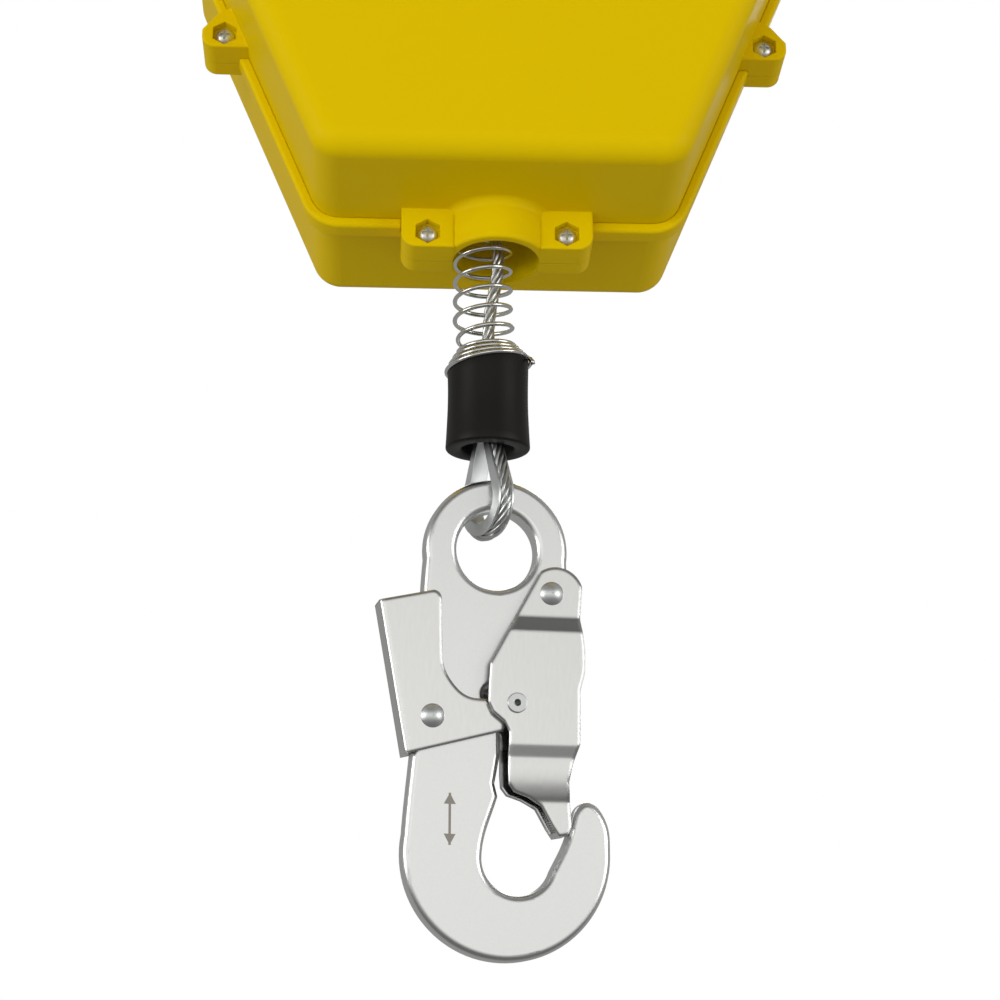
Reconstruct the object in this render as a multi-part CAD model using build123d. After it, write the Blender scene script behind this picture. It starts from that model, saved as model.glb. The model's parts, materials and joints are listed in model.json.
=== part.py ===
from build123d import *
import math
import os

# Self retracting lifeline: a cable fall arrester with a two-part plastic housing, a steel load
# frame, a sprung cable drum with centrifugal pawls and a friction brake, and a snap hook.
#
# Millimetres. +Z up, -Y is the front of the housing, +X its right side seen from the front.
# Everything is drawn with z = 0 on the housing's bottom wall and y = 0 on the plane where its
# two shells meet. save() then moves it so that the row's origin is the centre of the anchor eye.

os.makedirs("parts", exist_ok=True)

# --- driving dimensions ---------------------------------------------------------------------
# housing
BOTTOM_HALF = 52.0          # half width of the bottom wall
SIDE_HALF = 93.2            # half width at the vertical sides
TOP_HALF = 56.0             # half width of the top wall
TAPER_TOP = 100.0           # height where the lower taper ends
SHOULDER = 150.0            # height where the upper taper starts
HOUSING_TOP = 232.0
FRONT_Y = -41.6             # outer face of the front cover
REAR_Y = 44.0               # outer face of the rear shell
WALL = 2.8                  # thickness of the plastic
CORNER_R = 9.0              # rounding of the outline's corners
FACE_R = 6.5                # rounding round the front and rear faces
RIM_OUT = 2.9               # how far the rim of the rear shell stands out
RIM_FRONT = -3.0
RIM_REAR = 3.8
LAP_GAP = 0.1               # gap between the front cover and the rim round it

# screw lugs of the housing
LUG_FRONT = -9.0
LUG_REAR = 6.3
SCREW_R = 1.5
SCREW_HEAD_R = 2.85
SCREW_HEAD_H = 2.0
POCKET_FLATS = 7.0          # hexagonal pocket round each screw head
POCKET_DEPTH = 2.6
LUG_ROUND = 0.6             # rounding of a lug's front and rear edges
EAR_X = 81.8                # screws of the lower pair of side lugs
EAR_Z = 59.6
EAR_OUT = 6.8               # how far a side lug reaches outward from its screw
EAR_TALL = 11.0             # and how far along the tapered wall
EAR_SHORT = 4.8             # and the other way
EAR_IN = 14.0               # and into the wall
EAR_CORNER_R = 4.0
UPPER_EAR_X = 85.5          # screws of the upper pair
UPPER_EAR_Z = 176.0
BOSS_SCREW_X = 20.3         # screws beside the outlet
BOSS_SCREW_Z = -7.6
BOSS_LUG_IN = 12.5          # nearest and furthest side of those lugs from the middle
BOSS_LUG_OUT = 28.0
TOP_SCREW_X = 34.0          # screws beside the anchor slot
TOP_SCREW_RISE = 6.5        # their height above the top wall
TOP_LUG_IN = 22.5
TOP_LUG_OUT = 41.0
LUG_END = 5.0               # how far these lugs reach past their screws
LUG_OVERLAP = 2.0           # and into the wall
LUG_CORNER_R = 4.5

# cable outlet
OUTLET_R = 12.6
BOSS_R = 15.3
BOSS_DROP = 12.5
BOSS_BLEND = 2.5
LEDGE_HALF = 20.0           # ledges over the cable guide's flange
LEDGE_T = 2.0
LEDGE_Y = 14.5
POST_R = 9.0                # hollow posts that hold the load frame
POST_HOLE_R = 6.8

# anchor plate and load frame
EYE_Z = 255.0               # anchor eye above the bottom wall
EYE_R = 10.0
EYE_OUTER_R = 20.0
ANCHOR_T = 8.0
ANCHOR_LOW = 196.0          # lower edge of the anchor plate
ANCHOR_CLEAR = 0.4
PLATE_T = 3.0
FRONT_PLATE_Y = -30.0       # inner face of the front frame plate
REAR_PLATE_Y = 32.0         # inner face of the rear frame plate
FRAME_R = 64.0
FRAME_TOP = 224.0
FRAME_TOP_HALF = 26.0
FRAME_WAIST_HALF = 60.0
FRAME_WAIST = 150.0
ANCHOR_BOLT_X = 12.0
ANCHOR_BOLT_Z = 206.0
BOLT_R = 3.0
BOLT_HEAD_R = 5.0           # half the width across flats of heads and nuts
BOLT_HEAD_H = 4.0
BOLT_NUT_H = 4.6
BOLT_PAST = 5.2             # how far a bolt ends behind the rear plate
PILLAR_R = 5.0
PILLAR_PCR = 66.0           # distance of the frame pillars from the drum axis
PILLAR_ANGLES = (60, 125, 235, 330)
PILLAR_PAD_R = 8.0
SPACER_R = 5.5

# drum, brake and power spring
DRUM_X = -22.0
DRUM_Z = 128.0
SHAFT_R = 8.0
RUNNING = 0.05              # radial clearance of running fits
CLIP_T = 1.2
CLIP_R = 11.0
CLIP_GROOVE_R = 7.2
SHAFT_END = 3.0             # how far the shaft stands out of each plate
BUSH_R = 11.0
BUSH_LENGTH = 10.0
END_GAP = 0.2               # axial gap beside the drum's flanges
BARREL_R = 30.0
FLANGE_R = 56.0
DRUM_HALF = 14.5            # half width between the drum's flanges
FLANGE_T = 2.5
WINDOW_R = 5.5              # lightening holes of the front flange
WINDOW_PCR = 43.0
WEB = 5.0                   # wall left round the pocket in the drum's rear end
CABLE_R = 1.8
WOUND_R = 50.0              # outside of the wound cable
RING_R = 50.0               # ratchet ring
TOOTH_TIP_R = 38.5
TOOTH_ROOT_R = 44.0
TEETH = 12
RING_FRONT = -28.0
RING_REAR = -22.0
LINING_T = 1.5
CLAMP_T = 2.0
CLAMP_R = 59.0
BRAKE_SCREWS = 6
BRAKE_SCREW_PCR = 54.5
BRAKE_SCREW_R = 1.9
DISC_R = 4.0                # disc springs under the brake screws' heads
DISC_T = 1.0
PAWL_PIVOT_R = 26.0
PAWL_LENGTH = 23.6
PAWL_HUB_R = 5.5
PAWL_PIN_R = 2.95
PAWL_FRONT = -27.2
PAWL_REAR = -22.5
PAWL_PIN_END = -6.0
PAWL_SPRING_Y = -18.0
PAWL_REST = 7.1             # direction of a pawl's nose from the tangent, at rest
PAWL_PHASE = 52.4           # angle of a tooth's catching face with the pawl pivot at 90
CUP_R = 46.0
CUP_DEPTH = 13.0
CUP_T = 2.0
CUP_HOLE_R = 13.0
POWER_SPRING = (12.2, 42.6) # radii where the power spring starts and ends
POWER_TURNS = 9
STRIP_T = 0.8
STRIP_WIDTH = 10.0

# line below the outlet
LINE_X = -2.3
FLEX_Z = -6.0               # height where the cable bends as the line swings
LINE_LEAN = 8.0             # degrees that the line leans back at rest
JOINT_GAP = 1.0             # bare space on each side of the bending point
GUIDE_TOP = 30.0
GUIDE_R = 7.5
GUIDE_FLANGE_R = 17.0
GUIDE_FLANGE_T = 3.2
GUIDE_HOLE_R = 2.3
BUMPER_R = 12.2
BUMPER_TOP = 38.2           # distances down the line, from the bending point
BUMPER_END = 64.0
BUMPER_ROUND = 1.2
FERRULE_POCKET_R = 6.2
FERRULE_POCKET = 42.0
MOUTH_R = 7.4               # wider mouth at the bumper's lower end
MOUTH = 54.0
COIL_R = 8.2                # centreline radius of the stop spring
WIRE_R = 0.6
COIL_PITCH = 5.9
COIL_TOP = -6.4             # the spring's upper end, above the bending point
FOOT_TURNS = 3
FOOT_R = 12.2
FOOT_PITCH = 1.25
FERRULE_TOP = 42.5
FERRULE_END = 53.5
LEG_HALF = 1.9              # half the distance between the two cable legs in the ferrule
NECK = 59.0
NECK_HALF = 0.5             # half the thimble's opening at the neck
LOOP_CENTRE = 79.2
LOOP_INNER_R = 6.85
LOOP_TURN = 61.0            # angle of the loop's plane from the housing's face
THIMBLE_HALF = 2.55
STRAP_T = 1.0
GROOVE_DEPTH = 2.4          # height of the thimble's flanges

# hook, drawn in its own plane with the eye's centre at the origin
HOOK_EYE = (-0.3, 13.6, -99.0)
HOOK_LEAN = 10.0
HOOK_YAW = 8.0
HOOK_HALF_T = 4.0
HOOK_EYE_R = 11.4
HOOK_RING_R = 20.5
HOOK_ROUND = 2.0            # rounding of the forged plate's edges
GATE_PIVOT = (15.2, -12.6)
GATE_PIN = (5.0, -44.1)
LEVER_PIVOT = (-18.2, -47.9)
SHEET_T = 1.1
LEVER_IN = 4.2              # inside half width of the lock lever
GATE_IN = 5.45              # inside half width of the gate, near the plate
GATE_RAISED = 6.9           # inside half width of its raised middle panel
GATE_LOWER = 5.9            # inside half width at the top of its rolled lower panel
GATE_NOSE = 4.25            # inside half width at its nose
RIVET_R = 2.2
RIVET_HEAD_R = 3.35
RIVET_HEAD_H = 1.55
GATE_PIN_R = 1.5
GATE_PIN_HOLE_R = 0.95
GATE_PIN_RIM_R = 2.8
GATE_PIN_RIM_T = 0.8
GATE_SWING = 12.0           # degrees that the gate opens
SMALL_COIL_R = 2.4          # return springs inside the gate and the lever
SMALL_WIRE_R = 0.35


# --- helpers --------------------------------------------------------------------------------
def save(name, shape):
    """Write one sub-part, moved so that the anchor eye's centre is the origin."""
    pieces = shape if isinstance(shape, list) else [shape]
    solids = [solid.moved(Pos(0, 0, -EYE_Z)) for piece in pieces for solid in piece.solids()]
    export_step(solids[0] if len(solids) == 1 else Compound(solids), f"parts/{name}.step")


def prism(face, front, rear):
    """Extrude a face drawn in x and z from y = rear forward to y = front."""
    return Pos(0, rear, 0) * extrude(Plane.XZ * face, amount=rear - front)


def rod(x, z, radius, front, rear):
    """Cylinder along Y."""
    return prism(Pos(x, z) * Circle(radius), front, rear)


def tube(x, z, outer, inner, front, rear):
    return prism(Pos(x, z) * (Circle(outer) - Circle(inner)), front, rear)


def polar(radius, angle):
    turn = math.radians(angle)
    return (radius * math.cos(turn), radius * math.sin(turn))


def at_drum(face):
    return Pos(DRUM_X, DRUM_Z) * face


def vertices_at(face, x, z):
    return [v for v in face.vertices() if abs(v.X - x) < 0.01 and abs(v.Y - z) < 0.01]


LINE = Plane(
    origin=(LINE_X, 0, FLEX_Z),
    x_dir=(1, 0, 0),
    z_dir=(0, -math.sin(math.radians(LINE_LEAN)), math.cos(math.radians(LINE_LEAN))),
).location
HOOK = Plane(
    origin=HOOK_EYE,
    x_dir=(1, 0, 0),
    z_dir=(0, -math.cos(math.radians(HOOK_LEAN)), -math.sin(math.radians(HOOK_LEAN))),
).location * Rot(0, HOOK_YAW, 0)


# --- housing --------------------------------------------------------------------------------
def housing_outline(grow=0.0):
    corners = [
        (-BOTTOM_HALF, 0),
        (BOTTOM_HALF, 0),
        (SIDE_HALF, TAPER_TOP),
        (SIDE_HALF, SHOULDER),
        (TOP_HALF, HOUSING_TOP),
        (-TOP_HALF, HOUSING_TOP),
        (-SIDE_HALF, SHOULDER),
        (-SIDE_HALF, TAPER_TOP),
    ]
    face = make_face(Polyline(*corners, close=True))
    if grow:
        face = offset(face, amount=grow, kind=Kind.INTERSECTION)
    return fillet(face.vertices(), CORNER_R + grow)


def ear_outline(side, x, z, upper):
    """Lug on a tapered wall: square outside, rounded at the narrow end, chamfered at the other."""
    flip = -1 if upper else 1
    points = [
        (-EAR_IN, EAR_TALL),
        (-4.0, EAR_TALL),
        (2.5, 7.0),
        (EAR_OUT, 1.5),
        (EAR_OUT, -EAR_SHORT),
        (-EAR_IN, -EAR_SHORT),
    ]
    placed = [(side * (x + px), z + pz * flip) for px, pz in points]
    face = make_face(Polyline(*placed, close=True))
    corner = placed[4]
    return fillet(vertices_at(face, *corner), EAR_CORNER_R)


def boss_lug(side, inner, outer, screw_z, wall_z):
    """Lug beside the outlet or the anchor slot, reaching from the wall past its screw."""
    outward = math.copysign(1.0, screw_z - wall_z)
    end = screw_z + outward * LUG_END
    root = wall_z - outward * LUG_OVERLAP
    lug = Rectangle(outer - inner, abs(end - root))
    face = Pos(side * (inner + outer) / 2, (root + end) / 2) * lug
    return fillet(vertices_at(face, side * outer, end), LUG_CORNER_R)


def lugs():
    """Screw centre and outline of every lug."""
    found = []
    for s in (-1, 1):
        found.append((s * EAR_X, EAR_Z, ear_outline(s, EAR_X, EAR_Z, False)))
        found.append((s * UPPER_EAR_X, UPPER_EAR_Z, ear_outline(s, UPPER_EAR_X, UPPER_EAR_Z, True)))
        outlet = boss_lug(s, BOSS_LUG_IN, BOSS_LUG_OUT, BOSS_SCREW_Z, 0.0)
        found.append((s * BOSS_SCREW_X, BOSS_SCREW_Z, outlet))
        screw_z = HOUSING_TOP + TOP_SCREW_RISE
        top = boss_lug(s, TOP_LUG_IN, TOP_LUG_OUT, screw_z, HOUSING_TOP)
        found.append((s * TOP_SCREW_X, screw_z, top))
    return found


LUGS = lugs()


def soften(shape, edges, radius):
    """Fillet the edges, and keep the plain shape if they can't take the radius."""
    try:
        return fillet(edges, radius)
    except Exception:
        return shape


def outlet_boss(front, rear):
    """Half of the round outlet boss under the bottom wall."""
    boss = Pos(0, 0, -BOSS_DROP / 2 + 1) * Cylinder(BOSS_R, BOSS_DROP + 2)
    boss = soften(boss, boss.edges().filter_by(GeomType.CIRCLE).group_by(Axis.Z)[0], 1.0)
    keep = Pos(0, (front + rear) / 2, 0) * Box(60, rear - front, 60)
    return boss & keep


def blend_boss(shell):
    """Round the corner between the outlet boss and the bottom wall."""
    seam = [e for e in shell.edges().filter_by(GeomType.CIRCLE)
            if abs(e.radius - BOSS_R) < 0.01 and abs(e.center().Z) < 0.01]
    return soften(shell, seam, BOSS_BLEND)


def outlet_bore():
    return Pos(0, 0, -4) * Cylinder(OUTLET_R, 30)


def pillar_centres():
    offsets = [polar(PILLAR_PCR, angle) for angle in PILLAR_ANGLES]
    return [(DRUM_X + x, DRUM_Z + z) for x, z in offsets]


def frame_posts(front, rear):
    """Hollow posts that hold the load frame between the shells, clear of its bolt ends."""
    posts = [
        tube(x, z, POST_R, POST_HOLE_R, front, rear)
        for x, z in pillar_centres()
    ]
    return posts


def guide_ledge(front, rear):
    """Ledge that keeps the cable guide's flange down on the bottom wall."""
    place = Pos(0, (front + rear) / 2, WALL + GUIDE_FLANGE_T + 0.1 + LEDGE_T / 2)
    return place * Box(2 * LEDGE_HALF, rear - front, LEDGE_T)


def anchor_slot(clear):
    return Pos(0, 0, HOUSING_TOP) * Box(2 * EYE_OUTER_R + 2 * clear, ANCHOR_T + 2 * clear, 20)


def front_cover():
    shell = prism(housing_outline(), FRONT_Y, 0)
    face_edges = shell.faces().sort_by(Axis.Y)[0].edges()
    shell = soften(shell, face_edges, FACE_R)
    for _, _, outline in LUGS:
        lug = prism(outline, LUG_FRONT, 0)
        shell += soften(lug, lug.faces().sort_by(Axis.Y)[0].edges(), LUG_ROUND)
    shell += outlet_boss(-BOSS_R, 0)
    shell = blend_boss(shell)
    shell -= prism(housing_outline(-WALL), FRONT_Y + WALL, 0)
    shell += frame_posts(FRONT_Y + WALL, FRONT_PLATE_Y - PLATE_T)
    shell += guide_ledge(FRONT_Y + WALL, -LEDGE_Y)
    shell -= outlet_bore()
    shell -= anchor_slot(ANCHOR_CLEAR)
    for x, z, _ in LUGS:
        pocket = Pos(x, z) * RegularPolygon(POCKET_FLATS / 2, 6, major_radius=False, rotation=30)
        shell -= prism(pocket, LUG_FRONT - 1, LUG_FRONT + POCKET_DEPTH)
        shell -= rod(x, z, SCREW_R + 0.1, LUG_FRONT, 0)
    return shell


def rear_shell():
    shell = prism(housing_outline(), RIM_REAR, REAR_Y)
    shell = soften(shell, shell.faces().sort_by(Axis.Y)[-1].edges(), FACE_R)
    rim = prism(housing_outline(RIM_OUT), RIM_FRONT, RIM_REAR)
    rim_edges = rim.faces().sort_by(Axis.Y)[0].edges() + rim.faces().sort_by(Axis.Y)[-1].edges()
    rim = soften(rim, rim_edges, 1.2)
    rim -= prism(housing_outline(LAP_GAP), RIM_FRONT - 1, 0)
    for _, _, outline in LUGS:
        rim -= prism(offset(outline, amount=LAP_GAP), LUG_FRONT - 1, 0)
    rim -= Pos(0, -10, -2) * Box(2 * BOSS_R, 20, 40)
    shell += rim
    for _, _, outline in LUGS:
        lug = prism(outline, 0, LUG_REAR)
        shell += soften(lug, lug.faces().sort_by(Axis.Y)[-1].edges(), LUG_ROUND)
    shell += outlet_boss(0, BOSS_R)
    shell = blend_boss(shell)
    shell -= prism(housing_outline(-WALL), -1, REAR_Y - WALL)
    shell += frame_posts(REAR_PLATE_Y + PLATE_T, REAR_Y - WALL)
    shell += guide_ledge(LEDGE_Y, REAR_Y - WALL)
    shell -= outlet_bore()
    shell -= anchor_slot(ANCHOR_CLEAR)
    for x, z, _ in LUGS:
        shell -= rod(x, z, SCREW_R, 0, LUG_REAR - 1.2)
    return shell


def pan_screw(x, z):
    """Cross-recess pan head screw along Y, its head towards the front."""
    head_y = LUG_FRONT + POCKET_DEPTH
    profile = make_face(
        [
            Line((0, 0), (SCREW_HEAD_R, 0)),
            Line((SCREW_HEAD_R, 0), (SCREW_HEAD_R, 0.8)),
            ThreePointArc((SCREW_HEAD_R, 0.8), (SCREW_HEAD_R * 0.62, 1.75), (0, SCREW_HEAD_H)),
            Line((0, SCREW_HEAD_H), (0, 0)),
        ]
    )
    head = revolve(Plane.XZ * profile, Axis.Z)
    for turn in (0, 90):
        head -= Rot(0, 0, turn) * Pos(0, 0, SCREW_HEAD_H) * Box(3.2, 0.75, 2.2)
    screw = Pos(x, head_y, z) * Rot(90, 0, 0) * head
    return screw + rod(x, z, SCREW_R, head_y, LUG_REAR - 1.6)


def housing_screws():
    return [pan_screw(x, z) for x, z, _ in LUGS]


# --- load frame -----------------------------------------------------------------------------
def frame_outline():
    face = at_drum(Circle(FRAME_R))
    neck = [
        (-FRAME_TOP_HALF, FRAME_TOP),
        (FRAME_TOP_HALF, FRAME_TOP),
        (FRAME_TOP_HALF, FRAME_WAIST),
        (-FRAME_WAIST_HALF, FRAME_WAIST),
    ]
    face += make_face(Polyline(*neck, close=True))
    for x, z in pillar_centres():
        face += Pos(x, z) * Circle(PILLAR_PAD_R)
    for x, z in bolt_centres():
        face -= Pos(x, z) * Circle(BOLT_R)
    return face - at_drum(Circle(SHAFT_R))


def brake_screw_places():
    step = 360 / BRAKE_SCREWS
    return [at_drum(Pos(*polar(BRAKE_SCREW_PCR, step * (k + 0.25)))) for k in range(BRAKE_SCREWS)]


def front_plate():
    face = frame_outline()
    for place in brake_screw_places():
        face -= place * Circle(BRAKE_SCREW_R + 0.1)
    return prism(face, FRONT_PLATE_Y - PLATE_T, FRONT_PLATE_Y)


def rear_plate():
    return prism(frame_outline(), REAR_PLATE_Y, REAR_PLATE_Y + PLATE_T)


def frame_pillars():
    return [tube(x, z, PILLAR_R, BOLT_R, FRONT_PLATE_Y, REAR_PLATE_Y) for x, z in pillar_centres()]


def bolt_centres():
    return pillar_centres() + [(s * ANCHOR_BOLT_X, ANCHOR_BOLT_Z) for s in (-1, 1)]


def frame_bolts():
    head_y = FRONT_PLATE_Y - PLATE_T
    bolts = []
    for x, z in bolt_centres():
        hexagon = Pos(x, z) * RegularPolygon(BOLT_HEAD_R, 6, major_radius=False)
        head = prism(hexagon, head_y - BOLT_HEAD_H, head_y)
        bolts.append(head + rod(x, z, BOLT_R, head_y, REAR_PLATE_Y + PLATE_T + BOLT_PAST))
    return bolts


def frame_nuts():
    seat = REAR_PLATE_Y + PLATE_T
    nuts = []
    for x, z in bolt_centres():
        face = RegularPolygon(BOLT_HEAD_R, 6, major_radius=False) - Circle(BOLT_R)
        nuts.append(prism(Pos(x, z) * face, seat, seat + BOLT_NUT_H))
    return nuts


def anchor_plate():
    face = Pos(0, EYE_Z) * Circle(EYE_OUTER_R)
    face += Pos(0, (EYE_Z + ANCHOR_LOW) / 2) * Rectangle(2 * EYE_OUTER_R, EYE_Z - ANCHOR_LOW)
    face -= Pos(0, EYE_Z) * Circle(EYE_R)
    for side in (-1, 1):
        face -= Pos(side * ANCHOR_BOLT_X, ANCHOR_BOLT_Z) * Circle(BOLT_R)
    plate = prism(face, -ANCHOR_T / 2, ANCHOR_T / 2)
    rim = [e for e in plate.edges() if e.length > 30 and abs(e.center().Y) > 1 and e.length < 70
           and not (e.geom_type == GeomType.CIRCLE and e.radius < EYE_R + 1)]
    return soften(plate, rim, 1.2)


def anchor_spacers():
    spacers = []
    for side in (-1, 1):
        x = side * ANCHOR_BOLT_X
        spacers.append(tube(x, ANCHOR_BOLT_Z, SPACER_R, BOLT_R, FRONT_PLATE_Y, -ANCHOR_T / 2))
        spacers.append(tube(x, ANCHOR_BOLT_Z, SPACER_R, BOLT_R, ANCHOR_T / 2, REAR_PLATE_Y))
    return spacers


# --- shaft, drum and brake ------------------------------------------------------------------
def main_shaft():
    front = FRONT_PLATE_Y - PLATE_T
    rear = REAR_PLATE_Y + PLATE_T
    shaft = rod(DRUM_X, DRUM_Z, SHAFT_R, front - SHAFT_END, rear + SHAFT_END)
    for edge in (front - CLIP_T, rear):
        shaft -= tube(DRUM_X, DRUM_Z, SHAFT_R + 1, CLIP_GROOVE_R, edge, edge + CLIP_T)
    return shaft


def shaft_clips():
    opening = Pos(0, (CLIP_R + CLIP_GROOVE_R) / 2) * Rectangle(5, 8)
    face = Circle(CLIP_R) - Circle(CLIP_GROOVE_R) - opening
    front = FRONT_PLATE_Y - PLATE_T
    rear = REAR_PLATE_Y + PLATE_T
    return [prism(at_drum(face), y, y + CLIP_T) for y in (front - CLIP_T, rear)]


def shaft_spacer():
    rear = -DRUM_HALF - FLANGE_T - END_GAP
    return tube(DRUM_X, DRUM_Z, BUSH_R, SHAFT_R, FRONT_PLATE_Y, rear)


def spring_arbor():
    front = DRUM_HALF + FLANGE_T + END_GAP
    return tube(DRUM_X, DRUM_Z, BUSH_R + 0.5, SHAFT_R, front, REAR_PLATE_Y)


def drum_bushes():
    inner = SHAFT_R + RUNNING
    end = DRUM_HALF + FLANGE_T
    fronts = (-end, end - BUSH_LENGTH)
    return [tube(DRUM_X, DRUM_Z, BUSH_R, inner, y, y + BUSH_LENGTH) for y in fronts]


def pawl_places():
    """Angle of each pawl's pivot, seen from the front."""
    return (90, 270)


def cable_drum():
    end = DRUM_HALF + FLANGE_T
    drum = tube(DRUM_X, DRUM_Z, BARREL_R, BUSH_R, -end, end)
    ring = Circle(FLANGE_R) - Circle(BARREL_R)
    windows = [Pos(*polar(WINDOW_PCR, 30 + 60 * k)) * Circle(WINDOW_R) for k in range(6)]
    for front in (-end, DRUM_HALF):
        face = ring
        if front < 0:
            for window in windows:
                face -= window
        drum += prism(at_drum(face), front, front + FLANGE_T)
    pocket = Circle(BARREL_R - WEB) - Circle(BUSH_R + WEB)
    drum -= prism(at_drum(pocket), 0, end)
    for angle in pawl_places():
        x, z = polar(PAWL_PIVOT_R, angle)
        drum -= rod(DRUM_X + x, DRUM_Z + z, PAWL_PIN_R, -end, PAWL_PIN_END)
    return drum


def wound_cable():
    """The cable on the drum, its outer turns showing as a scalloped surface."""
    across = 7
    turn_pitch = 2 * DRUM_HALF / across
    outside = WOUND_R - CABLE_R
    core = Rectangle(outside - BARREL_R, 2 * DRUM_HALF - 2 * END_GAP)
    body = Pos((BARREL_R + outside) / 2, 0) * core
    for k in range(across):
        body += Pos(outside, (k - (across - 1) / 2) * turn_pitch) * Circle(CABLE_R)
    coil = revolve(Plane.XY * body, Axis.Y)
    return Pos(DRUM_X, 0, DRUM_Z) * coil


def tooth_outline():
    points = []
    for k in range(TEETH):
        start = PAWL_PHASE + 360 / TEETH * k
        points.append(polar(TOOTH_TIP_R, start))
        points.append(polar(TOOTH_ROOT_R, start))
        points.append(polar(TOOTH_ROOT_R, start + 12))
        points.append(polar(TOOTH_TIP_R, start + 25))
    return make_face(Polyline(*points, close=True))


def ratchet_ring():
    return prism(at_drum(Circle(RING_R) - tooth_outline()), RING_FRONT, RING_REAR)


def brake_linings():
    face = at_drum(Circle(RING_R) - Circle(TOOTH_ROOT_R + 1))
    return [prism(face, FRONT_PLATE_Y, RING_FRONT), prism(face, RING_REAR, RING_REAR + LINING_T)]


def clamp_ring():
    face = at_drum(Circle(CLAMP_R) - Circle(TOOTH_ROOT_R + 1))
    for place in brake_screw_places():
        face -= place * Circle(BRAKE_SCREW_R)
    front = RING_REAR + LINING_T
    return prism(face, front, front + CLAMP_T)


def brake_springs():
    seat = FRONT_PLATE_Y - PLATE_T
    face = Circle(DISC_R) - Circle(BRAKE_SCREW_R + 0.2)
    return [prism(place * face, seat - DISC_T, seat) for place in brake_screw_places()]


def brake_screws():
    seat = FRONT_PLATE_Y - PLATE_T - DISC_T
    screws = []
    for place in brake_screw_places():
        head = prism(place * RegularPolygon(3.5, 6, major_radius=False), seat - 2.8, seat)
        shank = prism(place * Circle(BRAKE_SCREW_R), seat, RING_REAR + LINING_T + CLAMP_T)
        screws.append(head + shank)
    return screws


def pawl(angle):
    """Arm with a catching nose, and a short tail that its spring pulls."""
    x, z = polar(PAWL_PIVOT_R, angle)
    nose = (PAWL_LENGTH, 0)
    heel = (PAWL_LENGTH - 1.5, -4.6)
    face = make_face(Polyline((-1, 5.4), (9, 4.2), nose, heel, (0, -5.4), close=True))
    face += Circle(PAWL_HUB_R)
    face += Pos(-6, -1.5) * Circle(3.5)
    face -= Circle(PAWL_PIN_R + RUNNING)
    face = at_drum(Pos(x, z) * Rot(0, 0, angle - 90 + PAWL_REST) * face)
    return prism(face, PAWL_FRONT, PAWL_REAR)


def pawl_pins():
    pins = []
    for angle in pawl_places():
        x, z = polar(PAWL_PIVOT_R, angle)
        seat = PAWL_FRONT - END_GAP
        pin = rod(DRUM_X + x, DRUM_Z + z, PAWL_PIN_R, seat, PAWL_PIN_END)
        pins.append(pin + rod(DRUM_X + x, DRUM_Z + z, 4.6, seat - 1.1, seat))
    return pins


def pawl_springs():
    coils = []
    for angle in pawl_places():
        x, z = polar(PAWL_PIVOT_R, angle)
        path = Helix(pitch=1.0, height=3.0, radius=4.4)
        wire = sweep(Plane(path @ 0, z_dir=path % 0) * Circle(0.4), path=path)
        coils.append(Pos(DRUM_X + x, PAWL_SPRING_Y, DRUM_Z + z) * Rot(90, 0, 0) * wire)
    return coils


def spring_cup():
    front = DRUM_HALF + FLANGE_T
    return tube(DRUM_X, DRUM_Z, CUP_R, CUP_R - CUP_T, front, front + CUP_DEPTH)


def cup_cover():
    front = DRUM_HALF + FLANGE_T + CUP_DEPTH
    return tube(DRUM_X, DRUM_Z, CUP_R, CUP_HOLE_R, front, front + 1.5)


def power_spring():
    """Flat spiral spring, from the arbor out to the cup."""
    first, last = POWER_SPRING
    samples = 24 * POWER_TURNS
    inner = []
    outer = []
    for k in range(samples + 1):
        radius = first + (last - first) * k / samples
        angle = 360 * POWER_TURNS * k / samples
        inner.append(polar(radius, angle))
        outer.append(polar(radius + STRIP_T, angle))
    edges = [Spline(*inner), Line(inner[-1], outer[-1]), Spline(*outer[::-1]), Line(outer[0], inner[0])]
    face = make_face(edges)
    front = DRUM_HALF + FLANGE_T + 1.5
    return prism(at_drum(face), front, front + STRIP_WIDTH)


# --- cable and line pieces ------------------------------------------------------------------
def cable_guide():
    """Nylon bush that leads the cable to the middle of the outlet."""
    guide = Pos(0, 0, WALL + GUIDE_FLANGE_T / 2) * Cylinder(GUIDE_FLANGE_R, GUIDE_FLANGE_T)
    guide += Pos(0, 0, (WALL + GUIDE_TOP) / 2) * Cylinder(GUIDE_R, GUIDE_TOP - WALL)
    guide -= Pos(0, 0, GUIDE_TOP / 2) * Cylinder(GUIDE_HOLE_R, GUIDE_TOP + 10)
    guide -= Pos(0, 0, GUIDE_TOP - 3) * Cone(GUIDE_HOLE_R, 6.0, 6.02)
    guide -= Pos(0, 0, WALL + 1.5) * Cone(4.2, GUIDE_HOLE_R, 3.02)
    return Pos(LINE_X, 0, 0) * guide


def cable_run():
    """The stretch of cable between the drum and the guide."""
    guide = Vector(LINE_X, GUIDE_TOP)
    centre = Vector(DRUM_X, DRUM_Z)
    gap = centre - guide
    reach = WOUND_R + CABLE_R + 0.3
    lean = math.atan2(gap.X, gap.Y) + math.asin(reach / gap.length)
    length = math.sqrt(gap.length**2 - reach**2)
    run = Pos(0, 0, length / 2 + 1.2) * Cylinder(CABLE_R, length - 2.4)
    return Pos(LINE_X, 0, GUIDE_TOP) * Rot(0, math.degrees(lean), 0) * run


def cable_upper():
    top = GUIDE_TOP - 1.5
    low = FLEX_Z + JOINT_GAP
    return Pos(LINE_X, 0, (top + low) / 2) * Cylinder(CABLE_R, top - low)


def down_line(shape, start, end):
    """Put a shape drawn about its centre between two distances down the line."""
    return LINE * Pos(0, 0, -(start + end) / 2) * shape


def cable_lower():
    end = 44.0
    return down_line(Cylinder(CABLE_R, end - JOINT_GAP), JOINT_GAP, end)


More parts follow.
